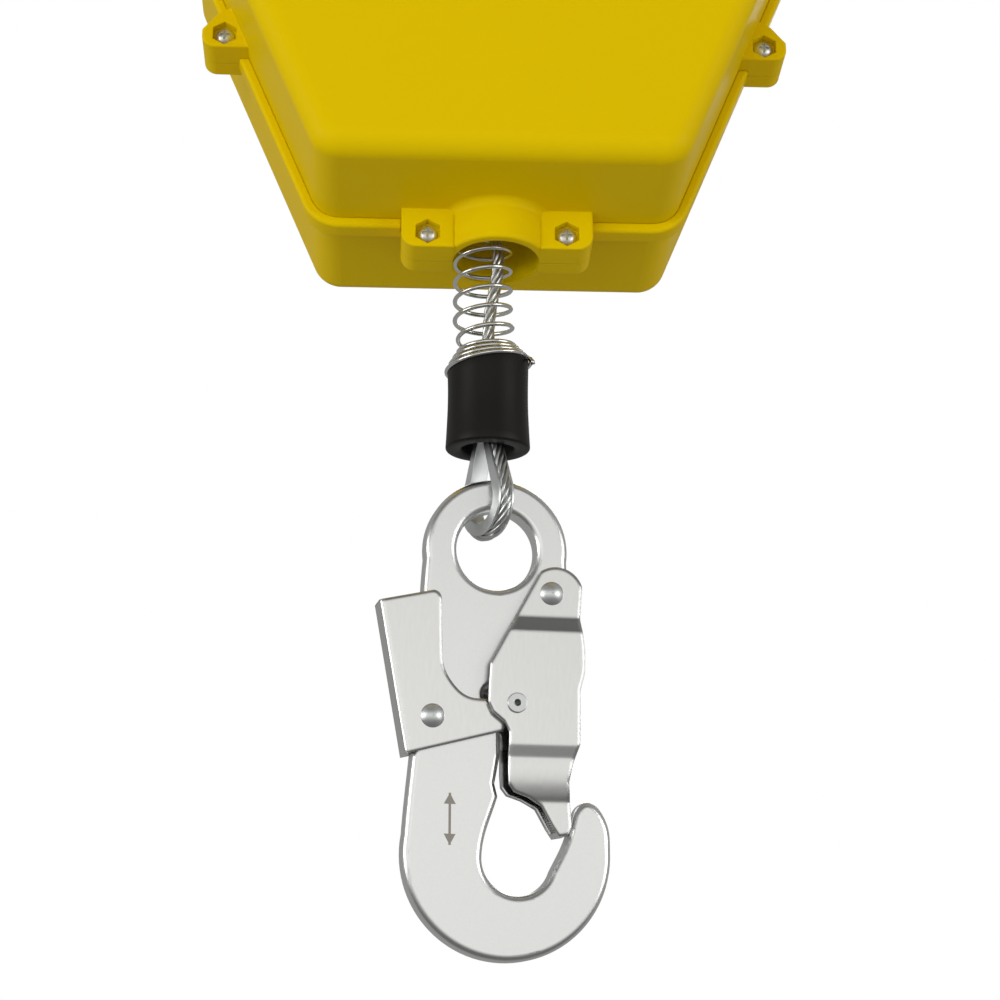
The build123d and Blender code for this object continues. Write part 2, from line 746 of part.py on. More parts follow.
def stop_spring():
    """Open coil on a wider, closely wound foot that sits on the bumper."""
    foot_low = -(BUMPER_TOP - WIRE_R - 0.05)
    foot_rise = FOOT_TURNS * FOOT_PITCH
    foot_high = foot_low + foot_rise
    coil = Helix(pitch=COIL_PITCH, height=-COIL_TOP - foot_high, radius=COIL_R)
    wire = Pos(0, 0, foot_high) * sweep(Plane(coil @ 0, z_dir=coil % 0) * Circle(WIRE_R), path=coil)
    flare = math.degrees(math.atan2(FOOT_R - COIL_R, foot_rise))
    foot = Helix(pitch=FOOT_PITCH, height=foot_rise, radius=COIL_R, cone_angle=flare,
                 direction=(0, 0, -1), lefthand=False)
    foot_wire = sweep(Plane(foot @ 0, z_dir=foot % 0) * Circle(WIRE_R), path=foot)
    wire += Pos(0, 0, foot_high) * Rot(0, 0, 180) * foot_wire
    return LINE * wire


def rubber_bumper():
    """Cylinder with a hole for the cable, a pocket for the ferrule and a wider mouth."""
    body = Cylinder(BUMPER_R, BUMPER_END - BUMPER_TOP)
    body = soften(body, body.edges().filter_by(GeomType.CIRCLE), BUMPER_ROUND)
    body = down_line(body, BUMPER_TOP, BUMPER_END)
    steps = [
        (CABLE_R + 0.3, BUMPER_TOP - 1, FERRULE_POCKET + 1),
        (FERRULE_POCKET_R, FERRULE_POCKET, MOUTH + 1),
        (MOUTH_R, MOUTH, BUMPER_END + 2),
    ]
    for radius, start, end in steps:
        body -= down_line(Cylinder(radius, end - start), start, end)
    return body


def cable_ferrule():
    body = extrude(SlotCenterToCenter(2 * LEG_HALF, 2 * CABLE_R + 2.6), amount=FERRULE_END - FERRULE_TOP)
    body = Pos(0, 0, -FERRULE_END) * body
    body -= Pos(0, 0, -FERRULE_TOP) * Cylinder(CABLE_R, 3.0)
    for side in (-1, 1):
        body -= Pos(side * LEG_HALF, 0, -FERRULE_END) * Cylinder(CABLE_R, 6.4)
    return LINE * Rot(0, 0, -LOOP_TURN) * body


def teardrop(radius, neck_half):
    """Face in the loop's plane: a round end of the given radius, drawn in to a neck."""
    span = math.hypot(neck_half, LOOP_CENTRE - NECK)
    tilt = math.atan2(neck_half, LOOP_CENTRE - NECK)
    touch = math.acos(radius / span)
    angle = math.pi / 2 - tilt - touch
    tangent = (radius * math.cos(angle), -LOOP_CENTRE + radius * math.sin(angle))
    outline = [
        Line((-neck_half, -NECK), (neck_half, -NECK)),
        Line((neck_half, -NECK), tangent),
        ThreePointArc(tangent, (0, -LOOP_CENTRE - radius), (-tangent[0], tangent[1])),
        Line((-tangent[0], tangent[1]), (-neck_half, -NECK)),
    ]
    return make_face(outline), tangent


def loop_place(shape):
    return LINE * Rot(0, 0, -LOOP_TURN) * shape


def loop_prism(face, low, high):
    """Extrude a face of the loop's plane across it."""
    return Pos(0, high, 0) * extrude(Plane.XZ * face, amount=high - low)


def loop_wire(radius):
    """Cable round the thimble, from one leg in the ferrule to the other."""
    centre_r = LOOP_INNER_R + STRAP_T + CABLE_R + 0.05
    neck_half = NECK_HALF + STRAP_T + CABLE_R + 0.05
    _, (touch_x, touch_z) = teardrop(centre_r, neck_half)
    low = (0, -LOOP_CENTRE - centre_r)
    straight = -FERRULE_END - 0.5
    start = -FERRULE_END + 3.0
    slope = (touch_x - neck_half, touch_z + NECK)
    path = Wire(
        [
            Line((LEG_HALF, start), (LEG_HALF, straight)),
            Spline((LEG_HALF, straight), (neck_half, -NECK), (touch_x, touch_z), tangents=[(0, -1), slope]),
            ThreePointArc((touch_x, touch_z), low, (-touch_x, touch_z)),
            Spline((-touch_x, touch_z), (-neck_half, -NECK), (-LEG_HALF, straight),
                   tangents=[(slope[0], -slope[1]), (0, 1)]),
            Line((-LEG_HALF, straight), (-LEG_HALF, start)),
        ]
    )
    path = Plane.XZ * path
    return sweep(Plane(path @ 0, z_dir=path % 0) * Circle(radius), path=path)


def thimble():
    strap_r = LOOP_INNER_R + STRAP_T
    strap_neck = NECK_HALF + STRAP_T
    inner, _ = teardrop(LOOP_INNER_R, NECK_HALF)
    strap, _ = teardrop(strap_r, strap_neck)
    flange, _ = teardrop(strap_r + GROOVE_DEPTH, strap_neck + GROOVE_DEPTH / 2)
    body = loop_prism(strap - inner, -THIMBLE_HALF, THIMBLE_HALF)
    inside = CABLE_R + 0.05
    body += loop_prism(flange - inner, -THIMBLE_HALF, -inside)
    body += loop_prism(flange - inner, inside, THIMBLE_HALF)
    return loop_place(body - loop_wire(CABLE_R + 0.04))


def cable_loop():
    return loop_place(loop_wire(CABLE_R))


# --- snap hook ------------------------------------------------------------------------------
def hook_prism(face, half):
    return extrude(face, amount=half, both=True)


def hook_outline():
    left = (-20.3, -2.8)
    right = (20.3, -2.8)
    face = make_face(
        [
            ThreePointArc(right, (0, HOOK_RING_R), left),
            Spline(left, (-21.3, -20), (-23.6, -58), (-25.6, -80), tangents=[(-0.1, -1), (-0.06, -1)]),
            ThreePointArc((-25.6, -80), (4.0, -114.4), (32.4, -84)),
            Spline((32.4, -84), (31.4, -76), (26.4, -70.4), (21.9, -74.6),
                   tangents=[(0, 1), (-0.25, -1)]),
            Spline((21.9, -74.6), (19.8, -81.5), (15.8, -89.5), tangents=[(-0.25, -1), (-0.5, -1)]),
            ThreePointArc((15.8, -89.5), (6.6, -96.4), (-3.8, -85.5)),
            Spline((-3.8, -85.5), (-0.9, -74), (0.6, -69.5), tangents=[(0.05, 1), (0.3, 1)]),
            Polyline((0.6, -69.5), (-0.3, -66), (1.2, -58), (1.2, -50), (3.2, -46), (6.3, -38),
                     (9.5, -28), (15.0, -20)),
            Line((15.0, -20), (20.8, -17)),
            Line((20.8, -17), right),
        ]
    )
    return face


def pin_slot():
    """Curved slot in the hook body that the gate's pin travels in."""
    dx = GATE_PIN[0] - GATE_PIVOT[0]
    dz = GATE_PIN[1] - GATE_PIVOT[1]
    radius = math.hypot(dx, dz)
    angle = math.degrees(math.atan2(dz, dx))
    arc = CenterArc(GATE_PIVOT, radius, angle + 6, -(GATE_SWING + 6.3))
    return SlotArc(arc, 2 * GATE_PIN_R + 0.7)


def hook_body():
    face = hook_outline() - Circle(HOOK_EYE_R) - pin_slot()
    face -= Pos(*GATE_PIVOT) * Circle(RIVET_R)
    face -= Pos(*LEVER_PIVOT) * Circle(RIVET_R)
    body = hook_prism(face, HOOK_HALF_T)
    rounded = []
    for flat in body.faces().filter_by(Plane.XY):
        rounded += flat.outer_wire().edges()
        for hole in flat.inner_wires():
            if hole.length > 5 * HOOK_EYE_R:
                rounded += hole.edges()
    return HOOK * fillet(rounded, HOOK_ROUND)


def rivet(centre, half, head_r, head_h):
    pin = hook_prism(Pos(*centre) * Circle(RIVET_R), half)
    cap_r = (head_r**2 + head_h**2) / (2 * head_h)
    for side in (-1, 1):
        dome = Pos(centre[0], centre[1], side * (half + head_h - cap_r)) * Sphere(cap_r)
        slab = Pos(centre[0], centre[1], side * (half + head_h / 2)) * Box(3 * head_r, 3 * head_r, head_h)
        pin += dome & slab
    return HOOK * pin


def gate_rivet():
    return rivet(GATE_PIVOT, GATE_IN + SHEET_T + 0.05, RIVET_HEAD_R, RIVET_HEAD_H)


def lever_rivet():
    return rivet(LEVER_PIVOT, LEVER_IN + SHEET_T + 0.05, RIVET_HEAD_R, RIVET_HEAD_H)


def lever_outline(inset=0.0):
    """Side view of the lock lever; inset pulls in its left edge and opens the other sides."""
    if inset:
        return make_face(
            Polyline((-33.0 + inset, -5), (40, -5), (40, -75), (-25.4 + inset + 2.8, -75),
                     (-25.4 + inset, -58.5), (-33.0 + inset, -16.2), close=True)
        )
    return make_face(
        [
            Line((-33.4, -15.9), (-18.2, -12.6)),
            ThreePointArc((-18.2, -12.6), (-16.6, -13.3), (-15.9, -15.0)),
            Line((-15.9, -15.0), (-15.6, -30.5)),
            Spline((-15.6, -30.5), (-12.2, -39.2), (-6.5, -42.7), tangents=[(0, -1), (1, -0.15)]),
            Line((-6.5, -42.7), (-2.6, -42.9)),
            Line((-2.6, -42.9), (2.3, -47.6)),
            Line((2.3, -47.6), (1.6, -51.6)),
            Line((1.6, -51.6), (-25.7, -58.6)),
            Line((-25.7, -58.6), (-33.4, -15.9)),
        ]
    )


def lock_lever():
    outer = hook_prism(lever_outline(), LEVER_IN + SHEET_T)
    bend = [e for e in outer.edges().filter_by(Plane.XY) if e.length > 40]
    outer = soften(outer, bend, 1.0)
    lever = outer - hook_prism(lever_outline(1.5), LEVER_IN)
    lever -= hook_prism(Pos(*LEVER_PIVOT) * Circle(RIVET_R + RUNNING), 20)
    return HOOK * lever


def gate_outline(inset=0.0):
    """Side view of the gate; inset pulls in its right edge and opens the left."""
    right = [(24.0, -10.6), (23.3, -20), (24.4, -29), (24.3, -35), (23.0, -40), (22.9, -55),
             (21.0, -60.5), (19.9, -65.5), (20.4, -71), (20.9, -77.5), (20.2, -79.8)]
    if inset:
        moved = [(x - inset, z) for x, z in right]
        return make_face(
            Polyline((-20, 2), (moved[0][0] - 3, 2), *moved, (moved[-1][0], -79.0), (-20, -79.0),
                     close=True)
        )
    top = ThreePointArc((12.2, -6.3), (17.2, -5.0), (24.0, -10.6))
    left = [(17.4, -80.3), (15.6, -77.6), (12.6, -72.2), (8.6, -69.8), (4.6, -68.4), (3.0, -66.2),
            (2.8, -62.5), (2.9, -52.0), (1.6, -49.4), (-1.6, -46.8), (-3.0, -43.8),
            (-2.9, -40.0), (-2.4, -33.0)]
    edges = [top] + [Polyline(*right)] + [Line(right[-1], left[0])] + [Polyline(*left)]
    edges.append(Line(left[-1], (12.2, -6.3)))
    return make_face(edges)


def gate_section(inside):
    """Section down the gate: near the plate, raised over the lever, rolled in, then a nose."""
    grow = 0 if inside else SHEET_T
    near = GATE_IN + grow
    raised = GATE_RAISED + grow
    lower = GATE_LOWER + grow
    nose = GATE_NOSE + grow
    top, end = 8, -85
    half = make_face(
        [
            Polyline((top, 0), (top, near), (-19.5, near), (-23.5, raised), (-55.5, raised),
                     (-59.0, lower)),
            Spline((-59.0, lower), (-71.0, nose), tangents=[(-1, 0.04), (-1, -0.42)]),
            Polyline((-71.0, nose), (end, nose), (end, 0), (top, 0)),
        ]
    )
    return half + mirror(half, Plane.XZ)


def gate():
    edge_on = Plane(origin=(-20, 0, 0), x_dir=(0, 1, 0), z_dir=(1, 0, 0))
    outer = hook_prism(gate_outline(), 12) & extrude(edge_on * gate_section(False), amount=60)
    inner = hook_prism(gate_outline(1.3), 12) & extrude(edge_on * gate_section(True), amount=60)
    body = outer - inner
    body -= hook_prism(Pos(*GATE_PIVOT) * Circle(RIVET_R + RUNNING), 20)
    body -= hook_prism(Pos(*GATE_PIN) * Circle(GATE_PIN_R), 20)
    return HOOK * body


def gate_pin():
    """Hollow rivet through the gate's raised panel."""
    half = GATE_RAISED + SHEET_T
    pin = hook_prism(Pos(*GATE_PIN) * Circle(GATE_PIN_R), half)
    for side in (-1, 1):
        place = Pos(GATE_PIN[0], GATE_PIN[1], side * (half + GATE_PIN_RIM_T / 2))
        rim = place * Cylinder(GATE_PIN_RIM_R, GATE_PIN_RIM_T)
        pin += soften(rim, rim.edges().filter_by(GeomType.CIRCLE), 0.3)
    pin -= hook_prism(Pos(*GATE_PIN) * Circle(GATE_PIN_HOLE_R), half + GATE_PIN_RIM_T + 1)
    return HOOK * pin


def return_spring(start, end, turns):
    """Small compression spring between two points of the hook's plane."""
    a = Vector(*start)
    gap = Vector(*end) - a
    seat = SMALL_WIRE_R + 0.05
    height = gap.length - 2 * seat
    path = Helix(pitch=height / turns, height=height, radius=SMALL_COIL_R)
    wire = sweep(Plane(path @ 0, z_dir=path % 0) * Circle(SMALL_WIRE_R), path=path)
    turn = math.degrees(math.atan2(gap.Y, gap.X))
    return HOOK * Pos(a.X, a.Y, 0) * Rot(0, 0, turn) * Rot(0, 90, 0) * Pos(0, 0, seat) * wire


def gate_spring():
    return return_spring((11.5, -27.5), (22.4, -27.5), 6)


def lever_spring():
    return return_spring((-29.9, -24.0), (-22.6, -24.0), 5)


# --- write every sub-part -------------------------------------------------------------------
PARTS = {
    "front_cover": front_cover,
    "rear_shell": rear_shell,
    "housing_screws": housing_screws,
    "front_frame_plate": front_plate,
    "rear_frame_plate": rear_plate,
    "frame_pillars": frame_pillars,
    "frame_bolts": frame_bolts,
    "frame_nuts": frame_nuts,
    "anchor_plate": anchor_plate,
    "anchor_spacers": anchor_spacers,
    "main_shaft": main_shaft,
    "shaft_clips": shaft_clips,
    "shaft_spacer": shaft_spacer,
    "spring_arbor": spring_arbor,
    "drum_bushes": drum_bushes,
    "cable_drum": cable_drum,
    "wound_cable": wound_cable,
    "ratchet_ring": ratchet_ring,
    "brake_linings": brake_linings,
    "clamp_ring": clamp_ring,
    "brake_springs": brake_springs,
    "brake_screws": brake_screws,
    "pawl_upper": lambda: pawl(90),
    "pawl_lower": lambda: pawl(270),
    "pawl_pins": pawl_pins,
    "pawl_springs": pawl_springs,
    "spring_cup": spring_cup,
    "cup_cover": cup_cover,
    "power_spring": power_spring,
    "cable_guide": cable_guide,
    "cable_run": cable_run,
    "cable_upper": cable_upper,
    "cable_lower": cable_lower,
    "stop_spring": stop_spring,
    "rubber_bumper": rubber_bumper,
    "cable_ferrule": cable_ferrule,
    "thimble": thimble,
    "cable_loop": cable_loop,
    "hook_body": hook_body,
    "gate_rivet": gate_rivet,
    "lever_rivet": lever_rivet,
    "lock_lever": lock_lever,
    "gate": gate,
    "gate_pin": gate_pin,
    "gate_spring": gate_spring,
    "lever_spring": lever_spring,
}

for name, build in PARTS.items():
    save(name, build())
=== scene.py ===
"""Looks of the self retracting lifeline: finishes for the CAD sub-parts, stranded wire rope, the
stop spring's coiled foot, the rubber bumper, a pale floor, studio light and the camera.

Lengths are drawn in millimetres and scaled by MM. Places on the line below the housing are given
in the line's own directions: x to the right, y to the back, z up the line from its bending point.
"""

import json
import math

import bpy
from mathutils import Matrix, Vector, noise


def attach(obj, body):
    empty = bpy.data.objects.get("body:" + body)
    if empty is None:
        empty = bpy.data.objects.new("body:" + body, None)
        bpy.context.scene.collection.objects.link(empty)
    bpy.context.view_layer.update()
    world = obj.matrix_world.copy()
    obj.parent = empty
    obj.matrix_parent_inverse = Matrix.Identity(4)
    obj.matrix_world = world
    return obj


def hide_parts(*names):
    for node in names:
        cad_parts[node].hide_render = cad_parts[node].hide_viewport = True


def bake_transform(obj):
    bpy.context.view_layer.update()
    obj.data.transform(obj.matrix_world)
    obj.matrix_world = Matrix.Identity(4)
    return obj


MM = 0.001
WALL_BELOW_EYE = 255.0      # bottom wall of the housing, below the anchor eye

# line
BEND = Vector((-2.3, 0.0, -6.0 - WALL_BELOW_EYE))
LINE_LEAN = math.radians(8.0)
BEND_REACH = 6.0            # the cable curves this far on each side of the bending point
GUIDE_TOP = 34.5            # cable end inside the guide, above the bending point
CABLE_END = 44.0            # cable end inside the ferrule, below the bending point
STRAIGHT_STEPS = 40         # each straight stretch and the bend are drawn in these many steps
BEND_STEPS = 20
PATH_STEP = 0.35            # spacing of the cable's points after that

# wire rope
ROPE_R = 1.8
STRANDS = 6
STRAND_R = 0.63
WIRES = 6
LAY = 21.0                  # length of rope in one turn of its strands
WIRE_PITCH = 2.6            # length of rope from one wire to the next on a strand
WIRE_RIDGE = 0.07           # height of a wire's ridge, as a share of the strand's radius
STRAND_SIDES = 18
CORE_R = ROPE_R - 1.8 * STRAND_R
CORE_SIDES = 10

PAYOUT = 262.0              # the cable paid out when the drum is at its limit
PAYOUT_STEP = 0.7           # spacing of the upper cable's points once it is paid out
PAYOUT_SAMPLES = 2000       # places tried along the cable to find those points

# the slack cable hangs a little to the right where it leaves the outlet
BOW = 3.0
BOW_HEIGHT = -6.0
BOW_LENGTH = 13.0

# stop spring
WIRE_R = 0.65
COIL_R = 8.2
COIL_TOP = 6.4
COIL_PITCH = 5.9
COIL_SHIFT = -1.5
COIL_SLOPE = 0.05
FOOT_TURNS = 4.0
FOOT_PITCH = 1.5
FOOT_R = 12.6
FOOT_START = math.radians(-20.0)
FOOT_BASE = 1.05            # first foot turn, below the level of the bumper's top
COIL_STEPS = 40             # points in each turn
SHIFT_TURNS = 1.5           # the open coil moves over to COIL_SHIFT in these turns
# the turned-down end of the wire: drop, angle back (radians) and distance outward
WIRE_END = ((2.4, -0.05, 1.3), (1.5, -0.07, 1.2), (0.6, -0.04, 0.6))

# bumper
BUMPER_TOP = 38.2
BUMPER_END = 64.0
BUMPER_R = 12.2
TOP_SLOPE = 0.17            # the bumper's worn top is lower on the left
BUMPER_WOBBLE = 0.12        # unevenness of its moulded wall
TOP_EDGE = 1.0              # rounding of the top edge
END_EDGE = 0.8              # rounding of the bottom edge
WAIST = 0.3                 # the wall draws in this much at half height
FLARE = 0.5                 # and is this much wider at the bottom than at the top
MOUTH_R = 7.4               # the hole's wide mouth at the bottom
MOUTH_TAPER = 0.1
MOUTH_CHAMFER = 0.7
MOUTH_TOP = 54.4
POCKET_R = 6.2              # the ferrule's pocket above the mouth
POCKET_END = 54.0
POCKET_TOP = 42.3
CABLE_HOLE_R = 2.2
CABLE_HOLE_END = 42.0
DISH_R = 6.0                # shallow dish round the cable hole in the top
DISH_DEPTH = 0.2

# thimble loop
LOOP_CENTRE = 79.2
LOOP_R = 9.7
NECK = 59.0
NECK_HALF = 3.35
LEG_HALF = 1.9
LEG_TOP = 50.5
LEG_END = 54.0
LOOP_TURN = math.radians(61.0)
LOOP_STEP = 0.4             # spacing of the points along the loop
LOOP_PHASE = 0.4            # turn of its strands

# hook
HOOK_EYE = Vector((-0.3, 13.6, -99.0 - WALL_BELOW_EYE))
HOOK_LEAN = math.radians(10.0)
HOOK_YAW = math.radians(8.0)
RETURN_COIL_R = 2.4         # return springs of the gate and the lever
RETURN_WIRE_R = 0.35
RETURN_STEPS = 24           # points in each turn
# body that the spring pushes, its node, its two ends and height in the hook's plane, and its turns
RETURN_SPRINGS = (
    ("gate", "gate_spring", 12.0, 22.0, -27.5, 6),
    ("lever", "lever_spring", -23.0, -29.5, -24.0, 5),
)

# double-headed arrow on the hook's shank
MARK_CENTRE = (-13.0, -76.0, 4.0)
MARK_HALF = 7.0
MARK_HEAD = 3.0
MARK_LINE = 0.35
MARK_SPREAD = 0.55          # half width of a head, as a share of its length
MARK_COLOUR = (0.30, 0.28, 0.25)

# camera
AIM = Vector((0.64, 0.0, -88.72 - WALL_BELOW_EYE))
DISTANCE = 641.0
LOOK_UP = math.radians(23.71)
LOOK_RIGHT = math.radians(3.16)
ROLL = math.radians(-0.43)
LENS = 82.3
SENSOR = 36.0

# floor, in metres
FLOOR_Z = -0.80
FLOOR_HALF = 4.0
FLOOR_GLOW = 0.50           # keeps the ground pale to the camera under the low studio light

# light: how bright the room looks in a reflection, from its sides (0) to its bright side (1)
BRIGHT_SIDE = (-0.05, -0.98, -0.17)
ROOM_FLATNESS = 3.0         # how much quicker it darkens upward and downward than sideways
ROOM = ((0.001, 0.30), (0.20, 0.12), (0.42, 0.12), (0.62, 0.34), (0.87, 0.90), (0.999, 1.10))
SOFT_LIGHT = (0.43, 0.345, 0.25)


# --- places -----------------------------------------------------------------------------------
def line_matrix():
    """From the line's own directions to the row frame, in millimetres."""
    c = math.cos(LINE_LEAN)
    s = math.sin(LINE_LEAN)
    return Matrix(((1, 0, 0, BEND.x), (0, c, -s, BEND.y), (0, s, c, BEND.z), (0, 0, 0, 1)))


def on_line(x, y, z):
    return line_matrix() @ Vector((x, y, z))


def on_hook(x, y, z):
    """A place drawn in the hook's own plane, with its eye's centre at the origin."""
    c = math.cos(HOOK_LEAN)
    s = math.sin(HOOK_LEAN)
    ex, ey, ez = HOOK_EYE
    plane = Matrix(((1, 0, 0, ex), (0, -s, -c, ey), (0, c, -s, ez), (0, 0, 0, 1)))
    return plane @ Matrix.Rotation(HOOK_YAW, 4, "Y") @ Vector((x, y, z))


# --- meshes -----------------------------------------------------------------------------------
def new_object(name, points, faces, material):
    mesh = bpy.data.meshes.new(name)
    mesh.from_pydata([p * MM for p in points], [], faces)
    mesh.validate()
    mesh.polygons.foreach_set("use_smooth", [True] * len(mesh.polygons))
    mesh.materials.append(material)
    thing = bpy.data.objects.new(name, mesh)
    bpy.context.scene.collection.objects.link(thing)
    return thing


def tangents(path):
    last = len(path) - 1
    return [(path[min(i + 1, last)] - path[max(i - 1, 0)]).normalized() for i in range(len(path))]


def carried_normals(path, first):
    """Directions across the path, carried along it without twist."""
    normals = []
    normal = first
    for tangent in tangents(path):
        normal = (normal - tangent * normal.dot(tangent)).normalized()
        normals.append(normal)
    return normals


def add_ring_faces(faces, start, rings, sides):
    """Skin a stack of rings and close both ends."""
    for i in range(rings - 1):
        for j in range(sides):
            a = start + i * sides + j
            b = start + i * sides + (j + 1) % sides
            faces.append((a, b, b + sides, a + sides))
    faces.append(tuple(start + j for j in range(sides))[::-1])
    faces.append(tuple(start + (rings - 1) * sides + j for j in range(sides)))


def add_tube(points, faces, path, across, radius, sides, flutes=0, twist=0.0):
    """Tube round a path; flutes are shallow ridges, moved on by twist at each point."""
    start = len(points)
    for i, (p, tangent) in enumerate(zip(path, tangents(path))):
        e = (across[i] - tangent * across[i].dot(tangent)).normalized()
        f = tangent.cross(e)
        for j in range(sides):
            angle = 2 * math.pi * j / sides
            ripple = 1 + WIRE_RIDGE * math.cos(flutes * angle + twist * i) if flutes else 1
            points.append(p + (e * math.cos(angle) + f * math.sin(angle)) * radius * ripple)
    add_ring_faces(faces, start, len(path), sides)


def lengths(path):
    """Distance along the path at each of its points."""
    travel = [0.0]
    for a, b in zip(path, path[1:]):
        travel.append(travel[-1] + (b - a).length)
    return travel


def rope(name, path, first, phase, material, travel=None):
    """Six strands laid round a core; travel is the length of rope up to each point."""
    points = []
    faces = []
    normals = carried_normals(path, first)
    travel = travel or lengths(path)
    step = travel[-1] / (len(path) - 1)
    wire_twist = 2 * math.pi * step / WIRE_PITCH
    strand_out = ROPE_R - STRAND_R
    for k in range(STRANDS):
        centres = []
        out = []
        for p, n, t, s in zip(path, normals, tangents(path), travel):
            angle = 2 * math.pi * (k / STRANDS + s / LAY) + phase
            direction = n * math.cos(angle) + t.cross(n) * math.sin(angle)
            centres.append(p + direction * strand_out)
            out.append(direction)
        add_tube(points, faces, centres, out, STRAND_R, STRAND_SIDES, WIRES, wire_twist)
    add_tube(points, faces, path, normals, CORE_R, CORE_SIDES)
    return new_object(name, points, faces, material)


def evenly(path, step):
    """The same line with points every step along it."""
    out = [path[0]]
    travelled = 0.0
    due = step
    for a, b in zip(path, path[1:]):
        length = (b - a).length
        while due <= travelled + length:
            out.append(a.lerp(b, (due - travelled) / length))
            due += step
        travelled += length
    return out


def lathe(name, rows, sides, shape, material):
    """Closed ring of revolution; shape moves each (angle, radius, height) to its place."""
    points = []
    faces = []
    for radius, height in rows:
        for j in range(sides):
            points.append(shape(2 * math.pi * j / sides, radius, height))
    count = len(rows)
    for i in range(count):
        for j in range(sides):
            k = (j + 1) % sides
            low = i * sides
            high = (i + 1) % count * sides
            faces.append((low + j, low + k, high + k, high + j))
    return new_object(name, points, faces, material)


# --- materials --------------------------------------------------------------------------------
def shader(name):
    material = bpy.data.materials.new(name)
    material.use_nodes = True
    nodes = material.node_tree.nodes
    links = material.node_tree.links
    return material, nodes, links, nodes["Principled BSDF"]


def grain(nodes, links, bsdf, scale, height, roundness=0.0, stretch=(1, 1, 1)):
    """Fine surface grain, and softened edges when roundness (metres) is given."""
    place = nodes.new("ShaderNodeTexCoord")
    mapping = nodes.new("ShaderNodeMapping")
    mapping.inputs["Scale"].default_value = stretch
    texture = nodes.new("ShaderNodeTexNoise")
    texture.inputs["Scale"].default_value = scale
    texture.inputs["Detail"].default_value = 3.0
    bump = nodes.new("ShaderNodeBump")
    bump.inputs["Strength"].default_value = 1.0
    bump.inputs["Distance"].default_value = height
    links.new(place.outputs["Object"], mapping.inputs["Vector"])
    links.new(mapping.outputs["Vector"], texture.inputs["Vector"])
    links.new(texture.outputs["Fac"], bump.inputs["Height"])
    if roundness:
        bevel = nodes.new("ShaderNodeBevel")
        bevel.samples = 8
        bevel.inputs["Radius"].default_value = roundness
        links.new(bevel.outputs["Normal"], bump.inputs["Normal"])
    links.new(bump.outputs["Normal"], bsdf.inputs["Normal"])
    return texture


def plastic(name, colour, roughness, grain_height, roundness=0.0004, shine=0.5):
    material, nodes, links, bsdf = shader(name)
    bsdf.inputs["Base Color"].default_value = (*colour, 1)
    bsdf.inputs["Specular IOR Level"].default_value = shine
    bsdf.inputs["Roughness"].default_value = roughness
    grain(nodes, links, bsdf, 2600.0, grain_height, roundness)
    return material


def metal(name, colour, roughness, grain_height=2e-6, roundness=0.0002, stretch=(1, 1, 1)):
    material, nodes, links, bsdf = shader(name)
    bsdf.inputs["Metallic"].default_value = 1.0
    bsdf.inputs["Roughness"].default_value = roughness
    texture = grain(nodes, links, bsdf, 1500.0, grain_height, roundness, stretch)
    darker = [0.93 * c for c in colour]
    tint = nodes.new("ShaderNodeMixRGB")
    tint.inputs["Color1"].default_value = (*darker, 1)
    tint.inputs["Color2"].default_value = (*colour, 1)
    links.new(texture.outputs["Fac"], tint.inputs["Fac"])
    links.new(tint.outputs["Color"], bsdf.inputs["Base Color"])
    return material


def number(nodes, links, operation, a, b=0.0):
    """One arithmetic node; a and b are numbers or sockets."""
    node = nodes.new("ShaderNodeMath")
    node.operation = operation
    for k, value in enumerate((a, b)):
        if isinstance(value, (int, float)):
            node.inputs[k].default_value = value
        else:
            links.new(value, node.inputs[k])
    return node.outputs["Value"]


def arrow_mark(material):
    """Plain double-headed arrow etched on the hook's shank, along its length."""
    nodes = material.node_tree.nodes
    links = material.node_tree.links
    bsdf = nodes["Principled BSDF"]
    colour = bsdf.inputs["Base Color"].links[0].from_socket
    place = nodes.new("ShaderNodeTexCoord")
    split = nodes.new("ShaderNodeSeparateXYZ")
    links.new(place.outputs["Object"], split.inputs["Vector"])
    centre = on_hook(*MARK_CENTRE) * MM
    x = number(nodes, links, "SUBTRACT", split.outputs["X"], centre.x)
    z = number(nodes, links, "SUBTRACT", split.outputs["Z"], centre.z)
    along = number(nodes, links, "ABSOLUTE", z)
    aside = number(nodes, links, "ABSOLUTE", x)
    shaft = number(nodes, links, "LESS_THAN", aside, MARK_LINE * MM)
    past = number(nodes, links, "SUBTRACT", MARK_HALF * MM, along)
    head_width = number(nodes, links, "MULTIPLY", past, MARK_SPREAD)
    in_head = number(nodes, links, "LESS_THAN", aside, head_width)
    near_end = number(nodes, links, "LESS_THAN", past, MARK_HEAD * MM)
    head = number(nodes, links, "MULTIPLY", in_head, near_end)
    either = number(nodes, links, "MAXIMUM", shaft, head)
    within = number(nodes, links, "GREATER_THAN", past, 0.0)
    mask = number(nodes, links, "MULTIPLY", either, within)
    mix = nodes.new("ShaderNodeMixRGB")
    mix.inputs["Color2"].default_value = (*MARK_COLOUR, 1)
    links.new(mask, mix.inputs["Fac"])
    links.new(colour, mix.inputs["Color1"])
    links.new(mix.outputs["Color"], bsdf.inputs["Base Color"])


